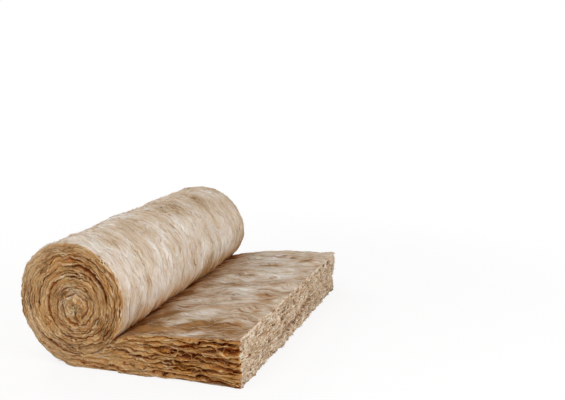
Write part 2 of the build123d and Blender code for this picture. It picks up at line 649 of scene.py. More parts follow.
def drawn_out_noise(tree, place, sizes, unit=skin_unit, **noise):
    """Noise whose cells have these sizes in mm, each along its own axis of the place."""
    scale = [cells(size, length) for size, length in zip(sizes, unit)]
    stretched = add_node(tree, "ShaderNodeVectorMath", {"operation": "MULTIPLY"}, {0: place, 1: scale})
    return add_node(tree, "ShaderNodeTexNoise", None, {"Vector": stretched, "Scale": 1.0, **noise})


def add_up(tree, kind, first, *others):
    """Adds numbers or vectors one after another."""
    for other in others:
        first = add_node(tree, kind, {"operation": "ADD"}, {0: first, 1: other})
    return first


relief, given = new_tree("wool_relief", {**dict.fromkeys(relief_sizes, "Float"), "Material": "Material"})
position = add_node(relief, "GeometryNodeInputPosition")
position_axes = add_node(relief, "ShaderNodeSeparateXYZ", None, {0: position}).outputs
normal = add_node(relief, "GeometryNodeInputNormal")
skin, layer, face, lifted, slit = [
    add_node(relief, "GeometryNodeInputNamedAttribute", {"data_type": kind}, {"Name": name})
    for name, kind in (("skin_place", "FLOAT_VECTOR"), ("layer_place", "FLOAT_VECTOR"),
                       ("cut_face", "FLOAT"), ("lift", "FLOAT"), ("open_slit", "FLOAT"))
]

# How much of each face a point belongs to.
from_side = add_node(relief, "ShaderNodeMath", {"operation": "SUBTRACT"}, {0: face, 1: on_side})
off_side = add_node(relief, "ShaderNodeMath", {"operation": "ABSOLUTE"}, {0: from_side})
left_over = {"operation": "SUBTRACT", "use_clamp": True}
side_share = add_node(relief, "ShaderNodeMath", left_over, {0: 1.0, 1: off_side})
skin_share = add_node(relief, "ShaderNodeMath", left_over, {0: 1.0, 1: face})
end_share = add_node(relief, "ShaderNodeMath", {"operation": "MULTIPLY", "use_clamp": True},
                     {0: from_side, 1: 1.0})

# Lumps all over, and dents and combed streaks along the skin. The dents are shallow on the roll.
lump_scale = add_node(relief, "ShaderNodeMath", {"operation": "DIVIDE"}, {0: 1.0, 1: given["Lump Size"]})
lumps = add_node(relief, "ShaderNodeTexNoise", None,
                 {"Vector": position, "Scale": lump_scale, "Detail": 2.0, "Roughness": 0.5})
drift = add_node(relief, "ShaderNodeTexNoise", None, {"Vector": skin, "Scale": cells(200), "Detail": 1.0})
drift = add_node(relief, "ShaderNodeVectorMath", {"operation": "SCALE"},
                 {0: drift.outputs["Color"], "Scale": 0.10})
combed = add_node(relief, "ShaderNodeVectorMath", {"operation": "ADD"}, {0: skin, 1: drift})
dents = drawn_out_noise(relief, combed, (200, 83, math.inf), Detail=2.0, Roughness=0.5)
streaks = drawn_out_noise(relief, combed, (111, 26, math.inf), Detail=3.0, Roughness=0.6)
by_roll = add_node(relief, "ShaderNodeSeparateXYZ", None, {0: skin})
by_roll = add_node(relief, "ShaderNodeMapRange", None, {
    "Value": by_roll.outputs["X"], "From Min": 0.50, "From Max": 0.75, "To Min": 1.0, "To Max": 0.35})
heights = []
for bumps, lowest, by_size, shares in (
    (lumps, -0.5, "Lump Height", ()),
    (streaks, -0.5, "Streak Height", (skin_share,)),
    (dents, -0.55, "Dent Height", (by_roll, skin_share)),
):
    bump = add_node(relief, "ShaderNodeMapRange", {"clamp": False}, {
        "Value": bumps, "From Min": 0.25, "From Max": 0.75, "To Min": lowest, "To Max": lowest + 1})
    for share in (given[by_size], *shares):
        bump = add_node(relief, "ShaderNodeMath", {"operation": "MULTIPLY"}, {0: bump, 1: share})
    heights.append(bump)

# Plies on the side faces: the count of plies wanders, and each whole number is a valley.
ply = add_node(relief, "ShaderNodeSeparateXYZ", None, {0: layer})
ply_count = ply.outputs["Y"]
for sizes, amount in (((294, 125, 333), 4.6), ((91, 44, 167), 3.4), ((38, 22, 167), 1.0)):
    bend = drawn_out_noise(relief, layer, sizes, layer_unit, Detail=2.0)
    ply_count = add_node(relief, "ShaderNodeMath", {"operation": "MULTIPLY_ADD"},
                         {0: bend, 1: amount, 2: ply_count})
valley = add_node(relief, "ShaderNodeMath", {"operation": "FRACT"}, {0: ply_count})
rise = add_node(relief, "ShaderNodeMapRange", {"interpolation_type": "SMOOTHSTEP"},
                {"Value": valley, "From Min": 0.0, "From Max": 0.26, "To Min": 1.0, "To Max": 0.0})
fall = add_node(relief, "ShaderNodeMapRange", {"interpolation_type": "SMOOTHSTEP"},
                {"Value": valley, "From Min": 0.5, "From Max": 1.0, "To Min": 0.0, "To Max": 1.0})
valley = add_node(relief, "ShaderNodeMath", {"operation": "MAXIMUM"}, {0: rise, 1: fall})
openings = drawn_out_noise(relief, layer, (143, 42, 200), layer_unit, Detail=2.0)
openings = add_node(relief, "ShaderNodeMapRange", {"interpolation_type": "SMOOTHSTEP"},
                    {"Value": openings, "From Min": 0.52, "From Max": 0.66, "To Min": 0.0, "To Max": 1.0})
depth = add_node(relief, "ShaderNodeMath", {"operation": "MULTIPLY_ADD"},
                 {0: openings, 1: given["Opening Depth"], 2: given["Ply Height"]})
depth = add_node(relief, "ShaderNodeMath", {"operation": "MULTIPLY"}, {0: depth, 1: valley})
depth = add_node(relief, "ShaderNodeMath", {"operation": "MULTIPLY_ADD"},
                 {0: slit, 1: given["Slit Depth"], 2: depth})
crumbs = add_node(relief, "ShaderNodeTexNoise", None,
                  {"Vector": position, "Scale": cells(14.3), "Detail": 2.0})
crumb = add_node(relief, "ShaderNodeMath", {"operation": "MULTIPLY"}, {0: crumbs, 1: given["Ply Height"]})
slips = drawn_out_noise(relief, layer, (250, 350, 333), layer_unit, Detail=1.0)
slip = add_node(relief, "ShaderNodeMapRange", {"clamp": False},
                {"Value": slips, "From Min": 0.25, "From Max": 0.75, "To Min": -0.5, "To Max": 0.5})
slip = add_node(relief, "ShaderNodeMath", {"operation": "MULTIPLY"}, {0: slip, 1: given["Slip"]})
slip = add_node(relief, "ShaderNodeMath", {"operation": "ADD"}, {0: slip, 1: crumb})
slip = add_node(relief, "ShaderNodeMath", {"operation": "SUBTRACT"}, {0: slip, 1: depth})

# Pits and torn crumbs on the cut end.
pits = add_node(relief, "ShaderNodeTexNoise", None,
                {"Vector": position, "Scale": cells(16.1), "Detail": 3.0, "Roughness": 0.6})
pit = add_node(relief, "ShaderNodeMapRange", {"clamp": False},
               {"Value": pits, "From Min": 0.3, "From Max": 0.6, "To Min": -1.0, "To Max": 0.3})
for share in (given["Pit Depth"], end_share):
    pit = add_node(relief, "ShaderNodeMath", {"operation": "MULTIPLY"}, {0: pit, 1: share})

# The skin and the cut end move along the normal, and the side faces straight in and out. The
# side faces wander in their own plane as well, and are more crinkled on the roll.
lump, streak, dent = heights
height = add_up(relief, "ShaderNodeMath", lump, streak, dent, pit)
height = add_node(relief, "ShaderNodeMath", {"operation": "MULTIPLY"}, {0: height, 1: lifted})
out = add_node(relief, "ShaderNodeVectorMath", {"operation": "SCALE"}, {0: normal, "Scale": height})
facing_y = add_node(relief, "ShaderNodeMath", {"operation": "SIGN"}, {0: position_axes["Y"]})
for share in (side_share, facing_y, lifted):
    slip = add_node(relief, "ShaderNodeMath", {"operation": "MULTIPLY"}, {0: slip, 1: share})
slid = add_node(relief, "ShaderNodeCombineXYZ", None, {"Y": slip})
wander = add_node(relief, "ShaderNodeTexNoise", None,
                  {"Vector": position, "Scale": cells(71), "Detail": 3.0, "Roughness": 0.62})
wander = add_node(relief, "ShaderNodeVectorMath", {"operation": "SUBTRACT"},
                  {0: wander.outputs["Color"], 1: middle_grey})
crinkle = add_node(relief, "ShaderNodeTexNoise", None,
                   {"Vector": position, "Scale": cells(19.2), "Detail": 1.0})
crinkle = add_node(relief, "ShaderNodeVectorMath", {"operation": "SUBTRACT"},
                   {0: crinkle.outputs["Color"], 1: middle_grey})
in_roll = add_node(relief, "ShaderNodeMapRange", None, {
    "Value": position_axes["X"], "From Min": -0.12, "From Max": 0.06, "To Min": 0.55, "To Max": 0.12})
crinkle = add_node(relief, "ShaderNodeVectorMath", {"operation": "SCALE"}, {0: crinkle, "Scale": in_roll})
wander = add_node(relief, "ShaderNodeVectorMath", {"operation": "ADD"}, {0: wander, 1: crinkle})
wander = add_node(relief, "ShaderNodeVectorMath", {"operation": "MULTIPLY"},
                  {0: wander, 1: (2.0, 0.0, 2.0)})
inner_side = add_node(relief, "ShaderNodeMath", {"operation": "MULTIPLY_ADD", "use_clamp": True},
                      {0: side_share, 1: 2.6, 2: -1.6})
wander_by = add_node(relief, "ShaderNodeMath", {"operation": "MULTIPLY"},
                     {0: given["Wander"], 1: inner_side})
wander = add_node(relief, "ShaderNodeVectorMath", {"operation": "SCALE"}, {0: wander, "Scale": wander_by})
moved = add_up(relief, "ShaderNodeVectorMath", out, slid, wander)
# Painted shade for the material: where the plies open and the slits gape, the colour is darkened as well as
# sunk.
crevice = add_node(relief, "ShaderNodeMath", {"operation": "MULTIPLY_ADD"}, {0: openings, 1: 0.75, 2: 0.25})
crevice = add_node(relief, "ShaderNodeMath", {"operation": "MULTIPLY"}, {0: crevice, 1: valley})
crevice = add_node(relief, "ShaderNodeMath", {"operation": "MAXIMUM"}, {0: crevice, 1: slit})
shaped = given["Geometry"]
for name, value in (("crevice", crevice), ("ply_count", ply_count)):
    shaped = add_node(relief, "GeometryNodeStoreNamedAttribute", {"data_type": "FLOAT", "domain": "POINT"},
                      {"Geometry": shaped, "Name": name, "Value": value})
shaped = add_node(relief, "GeometryNodeSetPosition", None, {"Geometry": shaped, "Offset": moved})
finish_tree(relief, shaped, given["Material"])

# The material is brown glass wool: fine fibres spun from molten glass and held by a brown binder,
# so it is matt all over. The skin is combed and pale, the plies on the sides are browner, and the
# cut end is porous. Light goes a little way in, so the hollows stay warm.


def linear(hex_colour):
    """A colour as the nodes take it, from its sRGB hex value."""
    values = [int(hex_colour[k:k + 2], 16) / 255 for k in (1, 3, 5)]
    values = [v / 12.92 if v <= 0.04045 else ((v + 0.055) / 1.055) ** 2.4 for v in values]
    return (*values, 1.0)


def set_ramp(node, stops):
    """Gives a colour ramp its stops, as places and sRGB hex values."""
    ramp = node.color_ramp
    while len(ramp.elements) < len(stops):
        ramp.elements.new(0.5)
    for element, (place, colour) in zip(ramp.elements, stops):
        element.position = place
        element.color = linear(colour)
    return node


def lay_colours(tree, colour, coats):
    """Lays colours over a colour in turn, each blended in by its own share."""
    for share, blend, coat in coats:
        colour = add_node(tree, "ShaderNodeMix", {"data_type": "RGBA", "blend_type": blend},
                          {0: share, 6: colour, 7: coat}).outputs[2]
    return colour


def add_shares(tree, tone, parts):
    """Adds parts to a tone, each times its own amount."""
    for part, amount in parts:
        tone = add_node(tree, "ShaderNodeMath", {"operation": "MULTIPLY_ADD"}, {0: part, 1: amount, 2: tone})
    return tone


def new_material(name):
    """Starts a material with an empty tree."""
    material = bpy.data.materials.new(name)
    material.use_nodes = True
    material.node_tree.nodes.clear()
    return material, material.node_tree


wool, tree = new_material("brown_glass_wool")
kept = {name: add_node(tree, "ShaderNodeAttribute", {"attribute_name": name}).outputs for name in (
    "skin_place", "layer_place", "cut_face", "crevice", "ply_count", "open_slit", "paleness")}
skin = kept["skin_place"]["Vector"]
layer = kept["layer_place"]["Vector"]
crevice = kept["crevice"]["Fac"]
place = add_node(tree, "ShaderNodeTexCoord").outputs["Object"]
skin_axes = add_node(tree, "ShaderNodeSeparateXYZ", None, {0: skin}).outputs
place_axes = add_node(tree, "ShaderNodeSeparateXYZ", None, {0: place}).outputs
crease_at = float(crease_run) / 1000

# Where on the blanket a point is, as shares that change smoothly over a range of its place in
# metres, or of the kind of face that it is on.
where = {}
for name, value, start, finish, low, high in (
    ("inner_face", skin_axes["X"], crease_at - 0.03, crease_at + 0.03, 1.0, 0.0),
    ("far_rim", skin_axes["Y"], 0.52, 0.60, 0.0, -0.36),
    ("near_side", skin_axes["Y"], -0.60, 0.10, -0.15, 0.04),
    ("to_cut_end", place_axes["X"], -0.16, 0.26, 0.0, 1.0),
    ("left", place_axes["X"], -0.34, -0.08, 1.0, 0.0),
    ("top_edge", place_axes["Z"], 0.155, 0.172, 0.0, 0.07),
    ("side", kept["cut_face"]["Fac"], 0.60, 1.0, 0.0, 1.0),
    ("cut_end", kept["cut_face"]["Fac"], 1.0, 1.9, 0.0, 1.0),
):
    where[name] = add_node(tree, "ShaderNodeMapRange", {"interpolation_type": "SMOOTHSTEP"}, {
        "Value": value, "From Min": start, "From Max": finish, "To Min": low, "To Max": high})
inner_face = where["inner_face"]
outer_face = add_node(tree, "ShaderNodeMath", {"operation": "SUBTRACT"}, {0: 1.0, 1: inner_face})

# Skin: white locks of fibre some 8 to 10 mm apart and 80 to 100 mm long, in two sheets that cross
# at a small angle, lie in wisps over the brown wool below. The real fibres are far too fine to
# show, so the locks stand for them. The inner face has fewer of them and shows browner.
drift = add_node(tree, "ShaderNodeTexNoise", None,
                 {"Vector": skin, "Scale": cells(250), "Detail": 3.0, "Roughness": 0.6})
drift = add_node(tree, "ShaderNodeVectorMath", {"operation": "SCALE"},
                 {0: drift.outputs["Color"], "Scale": 0.22})
combed = add_node(tree, "ShaderNodeVectorMath", {"operation": "ADD"}, {0: skin, 1: drift})
sheets = []
for turn, lock in ((0.28, (100, 7.7, 1000)), (-0.24, (83, 10.5, 1000))):
    sheet = add_node(tree, "ShaderNodeVectorRotate", {"rotation_type": "Z_AXIS"},
                     {"Vector": combed, "Angle": turn})
    sheets.append(drawn_out_noise(tree, sheet, lock, Detail=4.0, Roughness=0.62, Distortion=0.25))
fine = add_node(tree, "ShaderNodeMath", {"operation": "MAXIMUM"}, {0: sheets[0], 1: sheets[1]})
fine = add_node(tree, "ShaderNodeMapRange", {"clamp": False},
                {"Value": fine, "From Min": 0.35, "From Max": 0.72, "To Min": -0.5, "To Max": 0.5})
fine_by = add_shares(tree, 0.31, [(inner_face, 0.09)])
tone = add_shares(tree, 0.50, [(fine, fine_by)])
patches = []
for size, amount, more_inside in (
    ((91, 33, 1000), 0.22, 0.08), ((200, 125, 1000), 0.36, -0.08), ((625, 417, 1000), 0.36, -0.14),
):
    patch = drawn_out_noise(tree, combed, size, Detail=4.0, Roughness=0.6)
    patch = add_node(tree, "ShaderNodeMapRange", {"clamp": False},
                     {"Value": patch, "From Min": 0.25, "From Max": 0.75, "To Min": -0.5, "To Max": 0.5})
    patches.append(patch)
    by_face = add_shares(tree, amount, [(inner_face, more_inside)])
    tone = add_shares(tree, tone, [(patch, by_face)])
# Painted shade by the crease: full within 90 mm of it, gone by 220 mm, and lowering the tone a little.
painted_crease_shade = add_node(tree, "ShaderNodeMath", {"operation": "SUBTRACT"}, {0: skin_axes["X"], 1: crease_at})
painted_crease_shade = add_node(tree, "ShaderNodeMath", {"operation": "ABSOLUTE"}, {0: painted_crease_shade})
painted_crease_shade = add_node(tree, "ShaderNodeMapRange", {"interpolation_type": "SMOOTHSTEP"},
                     {"Value": painted_crease_shade, "From Min": 0.09, "From Max": 0.22, "To Min": 1.0, "To Max": 0.0})
tone = add_shares(tree, tone, (
    (inner_face, -0.15), (kept["paleness"]["Fac"], 1.0), (where["far_rim"], outer_face),
    (inner_face, where["near_side"]), (painted_crease_shade, -0.05),
))
inner_colour = set_ramp(add_node(tree, "ShaderNodeValToRGB", None, {0: tone}), (
    (0.06, "#86623F"), (0.26, "#AC9074"), (0.42, "#C3B09C"), (0.58, "#D3C8BC"), (0.85, "#EAE6E1")))
outer_colour = set_ramp(add_node(tree, "ShaderNodeValToRGB", None, {0: tone}), (
    (0.06, "#8E7153"), (0.26, "#AF987C"), (0.42, "#C4AF99"), (0.58, "#D2C5B7"), (0.85, "#E9E4E0")))

# Bare brown wool between the wisps, painted brown shade by the crease where the roll meets the tail,
# deepest next to it, and short creases along the fibres where the skin has puckered, darkened with
# painted shade over the bump that gives them relief.
bare = drawn_out_noise(tree, combed, (143, 67, 1000), Detail=4.0, Roughness=0.62)
bare = add_shares(tree, bare, [(where["near_side"], -0.5)])
bare = add_node(tree, "ShaderNodeMapRange", {"interpolation_type": "SMOOTHSTEP"},
                {"Value": bare, "From Min": 0.58, "From Max": 0.74, "To Min": 0.0, "To Max": 0.75})
bare_share = add_shares(tree, 0.25, [(inner_face, 0.75)])
bare = add_node(tree, "ShaderNodeMath", {"operation": "MULTIPLY"}, {0: bare, 1: bare_share})
streaked = add_shares(tree, 0.75, [(patches[0], -1.3)])
# The painted crease shade is broken by the streaks, and its deepest part lies right next to the crease.
painted_crease_shade = add_node(tree, "ShaderNodeMath", {"operation": "MULTIPLY", "use_clamp": True},
                     {0: painted_crease_shade, 1: streaked})
deepest_painted_crease_shade = add_node(tree, "ShaderNodeMath", {"operation": "POWER"}, {0: painted_crease_shade, 1: 6.0})
# Painted shade in the puckered creases: it darkens the skin's colour there, and lowers the tone for the
# bump.
puckered_crease_shade = drawn_out_noise(tree, combed, (125, 22.7, 1000), Detail=2.0, Distortion=0.8)
pucker_from = add_shares(tree, 0.62, [(inner_face, -0.07)])
puckered_crease_shade = add_node(tree, "ShaderNodeMapRange", {"interpolation_type": "SMOOTHSTEP"},
                  {"Value": puckered_crease_shade, "From Min": pucker_from, "From Max": 0.78})
skin_colour = lay_colours(tree, outer_colour, (
    (inner_face, "MIX", inner_colour), (bare, "MIX", linear("#A87A4C")),
    (painted_crease_shade, "MULTIPLY", linear("#FCCF8C")), (deepest_painted_crease_shade, "MULTIPLY", linear("#D09A5C")),
    (puckered_crease_shade, "MULTIPLY", linear("#B28A60")),
))
tone = add_shares(tree, tone, [(puckered_crease_shade, -0.35)])

# Side faces: each ply starts in a dark gap, has a pale torn lip beside it and darkens again to the next;
# the dark gap is painted shade and the pale lip painted light, over the plies' relief. Two finer sets of
# plies lie in between, and the gaps get darker painted shade towards the cut end. The core of the roll
# and the left of its outermost turn are paler.
to_cut_end = where["to_cut_end"]
fray = drawn_out_noise(tree, layer, (42, 22, 25), layer_unit, Detail=3.0, Roughness=0.6)
fray = add_node(tree, "ShaderNodeMapRange", {"clamp": False},
                {"Value": fray, "From Min": 0.25, "From Max": 0.75, "To Min": -0.2, "To Max": 0.2})
ply = add_node(tree, "ShaderNodeMath", {"operation": "ADD"}, {0: kept["ply_count"]["Fac"], 1: fray})
from_axis = add_node(tree, "ShaderNodeVectorMath", {"operation": "SUBTRACT"},
                     {0: place, 1: (roll_axis_x / 1000, 0.0, roll_axis_z / 1000)})
from_axis = add_node(tree, "ShaderNodeVectorMath", {"operation": "MULTIPLY"},
                     {0: from_axis, 1: (1.0, 0.0, 1.0)})
from_axis = add_node(tree, "ShaderNodeVectorMath", {"operation": "LENGTH"}, {0: from_axis}).outputs["Value"]
core = add_node(tree, "ShaderNodeMapRange", {"interpolation_type": "SMOOTHSTEP"},
                {"Value": from_axis, "From Min": 0.03, "From Max": 0.075, "To Min": 0.12, "To Max": 0.0})
strong = add_shares(tree, 0.55, [(to_cut_end, 0.45)])
grit = add_node(tree, "ShaderNodeTexNoise", None, {"Vector": place, "Scale": cells(7.7), "Detail": 3.0})
wavy = drawn_out_noise(tree, layer, (111, 29, 83), layer_unit, Detail=4.0, Roughness=0.6, Distortion=0.7)
side_tone = add_shares(tree, 0.05, ((grit, 0.30), (core, 1.0), (to_cut_end, -0.17), (wavy, 0.70)))
sets_of_plies = (
    (1.0, (143, 25, 111), 0.25, 0.26),
    (2.3, (91, 19.5, 111), 0.15, 0.19),
    (4.1, (77, 14.5, 111), 0.1, 0.12),
)
ply_light_and_shade = []
for per_ply, patch_size, least, amount in sets_of_plies:
    sheet = add_node(tree, "ShaderNodeMath", {"operation": "MULTIPLY_ADD"}, {0: ply, 1: per_ply, 2: 5.0})
    sheet = add_node(tree, "ShaderNodeMath", {"operation": "FRACT"}, {0: sheet})
    edge = add_node(tree, "ShaderNodeMapRange", {"interpolation_type": "SMOOTHSTEP"},
                    {"Value": sheet, "From Min": 0.06, "From Max": 0.30, "To Min": -1.0, "To Max": 0.5})
    fall = add_node(tree, "ShaderNodeMapRange", {"interpolation_type": "SMOOTHSTEP"},
                    {"Value": sheet, "From Min": 0.45, "From Max": 1.0, "To Min": 0.0, "To Max": -0.9})
    edge = add_node(tree, "ShaderNodeMath", {"operation": "ADD"}, {0: edge, 1: fall})
    patchy = drawn_out_noise(tree, layer, patch_size, layer_unit, Detail=2.0)
    patchy = add_node(tree, "ShaderNodeMapRange", {"interpolation_type": "SMOOTHSTEP"},
                      {"Value": patchy, "From Min": 0.34, "From Max": 0.60, "To Min": least})
    for share in (patchy, strong):
        edge = add_node(tree, "ShaderNodeMath", {"operation": "MULTIPLY"}, {0: edge, 1: share})
    ply_light_and_shade.append(edge)
    side_tone = add_shares(tree, side_tone, [(edge, amount)])
painted_gap_shade = add_node(tree, "ShaderNodeMath", {"operation": "MULTIPLY", "use_clamp": True}, {0: ply_light_and_shade[0], 1: -0.9})
painted_gap_shade = add_node(tree, "ShaderNodeMath", {"operation": "MULTIPLY"}, {0: painted_gap_shade, 1: to_cut_end})
outermost = add_node(tree, "ShaderNodeMapRange", {"interpolation_type": "SMOOTHSTEP"},
                     {"Value": from_axis, "From Min": 0.145, "From Max": 0.190, "To Max": 0.6})
left = add_node(tree, "ShaderNodeMath", {"operation": "MULTIPLY"}, {0: where["left"], 1: outermost})
side_colour = set_ramp(add_node(tree, "ShaderNodeValToRGB", None, {0: side_tone}), (
    (0.14, "#6E3C10"), (0.30, "#A86D2E"), (0.45, "#C39259"), (0.60, "#D1AC7A"), (0.78, "#E8D5B8")))
side_colour = lay_colours(tree, side_colour, (
    # The crevices and the gaps between the plies are darkened with painted shade.
    (left, "MIX", linear("#CCB290")), (crevice, "MULTIPLY", linear("#C67C30")),
    (painted_gap_shade, "MULTIPLY", linear("#6C3C16")),
))

# Cut end: torn open along the plies, with pits some 7 mm high and 36 mm long painted dark as shade
# and bumped, crumbs of 6 mm, broad patches of 42 mm, a paler top edge, and painted shade in the ragged tear.
torn = drawn_out_noise(tree, place, (16.7, 36, 7.4), Detail=4.0, Roughness=0.7)
broad = add_node(tree, "ShaderNodeTexNoise", None, {"Vector": place, "Scale": cells(42), "Detail": 2.0})
crumbs = add_node(tree, "ShaderNodeTexNoise", None, {"Vector": place, "Scale": cells(6.25), "Detail": 3.0})
cut_tone = add_shares(tree, -0.385, ((torn, 1.12), (broad, 0.3), (crumbs, 0.34), (where["top_edge"], 1.0)))
cut_colour = set_ramp(add_node(tree, "ShaderNodeValToRGB", None, {0: cut_tone}), (
    (0.34, "#553B26"), (0.41, "#8E7256"), (0.47, "#B49E84"), (0.56, "#C8B6A0"), (0.68, "#DED5C8")))
cut_colour = lay_colours(tree, cut_colour, [(kept["open_slit"]["Fac"], "MULTIPLY", linear("#A8662C"))])

colour = lay_colours(tree, skin_colour, (
    (where["side"], "MIX", side_colour), (where["cut_end"], "MIX", cut_colour)))
raised = tone
for share, face_tone in ((where["side"], side_tone), (where["cut_end"], cut_tone)):
    raised = add_node(tree, "ShaderNodeMix", {"data_type": "FLOAT"}, {0: share, 2: raised, 3: face_tone})
bump = add_node(tree, "ShaderNodeBump", None, {"Height": raised, "Strength": 0.7, "Distance": 0.012})
shader = add_node(tree, "ShaderNodeBsdfPrincipled", None, {
    "Base Color": colour, "Roughness": 0.95, "Specular IOR Level": 0.0, "Normal": bump,
    "Subsurface Weight": 0.4, "Subsurface Radius": (1.0, 0.55, 0.28), "Subsurface Scale": 0.010,
})
add_node(tree, "ShaderNodeOutputMaterial", None, {"Surface": shader})


def run_tree(piece, tree, values):
    """Runs a tree on a piece, and leaves it the plain mesh that comes out."""
    modifier = piece.modifiers.new(tree.name, "NODES")
    modifier.node_group = tree
    for item in tree.interface.items_tree:
        if item.name in values:
            modifier[item.identifier] = values[item.name]
    evaluated = piece.evaluated_get(bpy.context.evaluated_depsgraph_get())
    mesh = bpy.data.meshes.new_from_object(evaluated)
    piece.modifiers.clear()
    piece.data = mesh
    mesh.name = piece.name
    return mesh


def rest_on_floor(mesh):
    """Brings back up what the relief has pushed below the floor."""
    for vertex in mesh.vertices:
        vertex.co.z = max(vertex.co.z, 0.0)


blanket_mesh = run_tree(blanket, relief, {**relief_sizes, "Material": wool})
rest_on_floor(blanket_mesh)
for polygon in blanket_mesh.polygons:
    polygon.use_smooth = True
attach(blanket, "root")
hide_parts("wool_blanket")

# The torn edges of the plies. Where a side was cut, the edge of each ply stands out as a thin
# crinkled lip of torn wool. It follows the ply along the tail and round the roll, and sinks back
# into the wool in places. The innermost lip is crumpled in the middle of the roll.
lip_plies = 12
lip_spacing = 4.0
thick_layer = 84
lip_sizes = {"Width": 0.0024, "Reach": 0.009, "Sunk": 0.0035, "Crinkle": 0.016, "Bend": 0.010}
lip_points, lip_across, lip_side, lip_tip, lip_triangles = [], [], [], [], []
around = numpy.linspace(-0.5, 5.6, 70)
climb = numpy.linspace(0, 1, 70)
core_x = numpy.concatenate([29 * numpy.sin(-around) + 2.5 * numpy.sin(5 * around),
                            9 - 6 * climb + 11 * numpy.sin(17 * climb) * (1 - 0.3 * climb)])
core_z = numpy.concatenate([43 * numpy.cos(around) + 2.5 * numpy.sin(6 * around),
                            -30 + 66 * climb + 3 * numpy.sin(30 * climb)])
core_line = numpy.stack([roll_axis_x + core_x, roll_axis_z - 10 + core_z], axis=1)
core_across = numpy.gradient(core_line, axis=0)[:, ::-1] * [-1, 1]
core_across /= numpy.linalg.norm(core_across, axis=1)[:, None]
side_outer, side_inner = numpy.array(side_lines).transpose(1, 0, 2)
side_thickness = numpy.linalg.norm(side_inner - side_outer, axis=1)
side_across = (side_inner - side_outer) / side_thickness[:, None]


def ply_line(ply):
    """The line of a ply along the blanket and the way across it. Most stop where it is thin."""
    if ply == 0:
        return core_line, core_across
    line = side_outer + (side_inner - side_outer) * ply / lip_plies
    if ply % 3:
        line = line[side_thickness > thick_layer]
    return line, side_across[:len(line)]


for end in (-1, 1):
    for ply in range(lip_plies):
        line, across = ply_line(ply)
        steps = numpy.linalg.norm(numpy.diff(line, axis=0), axis=1)
        gone = numpy.concatenate([[0], numpy.cumsum(steps)])
        at = numpy.arange(0, gone[-1], lip_spacing)
        before = None
        for x, z, across_x, across_z in zip(*(numpy.interp(at, gone, v) for v in (*line.T, *across.T))):
            section = []
            for side, tip in ((-1, 0), (1, 0), (0, 1)):
                section.append(len(lip_points))
                lip_points.append((x, end * half_width, z))
                lip_across.append((across_x, 0, across_z))
                lip_side.append(side)
                lip_tip.append(tip)
            if before is None:
                lip_triangles.append(tuple(section))
            else:
                for k in range(3):
                    n = (k + 1) % 3
                    lip_triangles.append((before[k], before[n], section[n]))
                    lip_triangles.append((before[k], section[n], section[k]))
            before = section
        lip_triangles.append(tuple(reversed(before)))
lip_points = numpy.array(lip_points)
wind_far_end(lip_points)
lip_mesh = bpy.data.meshes.new("torn_ply_edges")
lip_mesh.from_pydata((lip_points / 1000).tolist(), [], lip_triangles)
store_on_points(lip_mesh, {"across": lip_across, "side": lip_side, "tip": lip_tip})
torn_edges = new_piece("torn_ply_edges", lip_mesh)

# Each lip wanders, is seated on the wool nearest to it, and then spreads to its width there. Its
# tip reaches out and bends over, and its root is sunk.
lips, given = new_tree("torn_ply_edges", {
    **dict.fromkeys(lip_sizes, "Float"), "Wool": "Object", "Material": "Material"})
position = add_node(lips, "GeometryNodeInputPosition")
across, side, tip = [
    add_node(lips, "GeometryNodeInputNamedAttribute", {"data_type": kind}, {"Name": name})
    for name, kind in (("across", "FLOAT_VECTOR"), ("side", "FLOAT"), ("tip", "FLOAT"))
]
crinkle = add_node(lips, "ShaderNodeTexNoise", None,
                   {"Vector": position, "Scale": cells(59), "Detail": 3.0, "Roughness": 0.6})
crinkle = add_node(lips, "ShaderNodeVectorMath", {"operation": "SUBTRACT"},
                   {0: crinkle.outputs["Color"], 1: middle_grey})
crinkle = add_node(lips, "ShaderNodeVectorMath", {"operation": "MULTIPLY"}, {0: crinkle, 1: (1.0, 0.0, 1.0)})
crinkle = add_node(lips, "ShaderNodeVectorMath", {"operation": "SCALE"},
                   {0: crinkle, "Scale": given["Crinkle"]})
wandered = add_node(lips, "ShaderNodeVectorMath", {"operation": "ADD"}, {0: position, 1: crinkle})
wool_object = add_node(lips, "GeometryNodeObjectInfo", None, {"Object": given["Wool"]})
seat = add_node(lips, "GeometryNodeProximity", {"target_element": "FACES"},
                {0: wool_object.outputs["Geometry"], "Source Position": wandered}).outputs["Position"]
out = add_node(lips, "ShaderNodeTexNoise", None, {"Vector": position, "Scale": cells(53), "Detail": 2.0})
out = add_node(lips, "ShaderNodeMapRange", None,
               {"Value": out, "From Min": 0.40, "From Max": 0.66, "To Min": -0.25, "To Max": 1.0})
out = add_node(lips, "ShaderNodeMath", {"operation": "MULTIPLY"}, {0: out, 1: given["Reach"]})
out = add_node(lips, "ShaderNodeMath", {"operation": "ADD"}, {0: out, 1: given["Sunk"]})
out = add_node(lips, "ShaderNodeMath", {"operation": "MULTIPLY"}, {0: out, 1: tip})
out = add_node(lips, "ShaderNodeMath", {"operation": "SUBTRACT"}, {0: out, 1: given["Sunk"]})
facing_y = add_node(lips, "ShaderNodeSeparateXYZ", None, {0: position})
facing_y = add_node(lips, "ShaderNodeMath", {"operation": "SIGN"}, {0: facing_y.outputs["Y"]})
out = add_node(lips, "ShaderNodeMath", {"operation": "MULTIPLY"}, {0: out, 1: facing_y})
out = add_node(lips, "ShaderNodeCombineXYZ", None, {"Y": out})
bend = add_node(lips, "ShaderNodeTexNoise", None, {"Vector": position, "Scale": cells(32), "Detail": 2.0})
bend = add_node(lips, "ShaderNodeMath", {"operation": "SUBTRACT"}, {0: bend, 1: 0.5})
for share in (given["Bend"], tip):
    bend = add_node(lips, "ShaderNodeMath", {"operation": "MULTIPLY"}, {0: bend, 1: share})
half = add_node(lips, "ShaderNodeMath", {"operation": "MULTIPLY"}, {0: given["Width"], 1: 0.5})
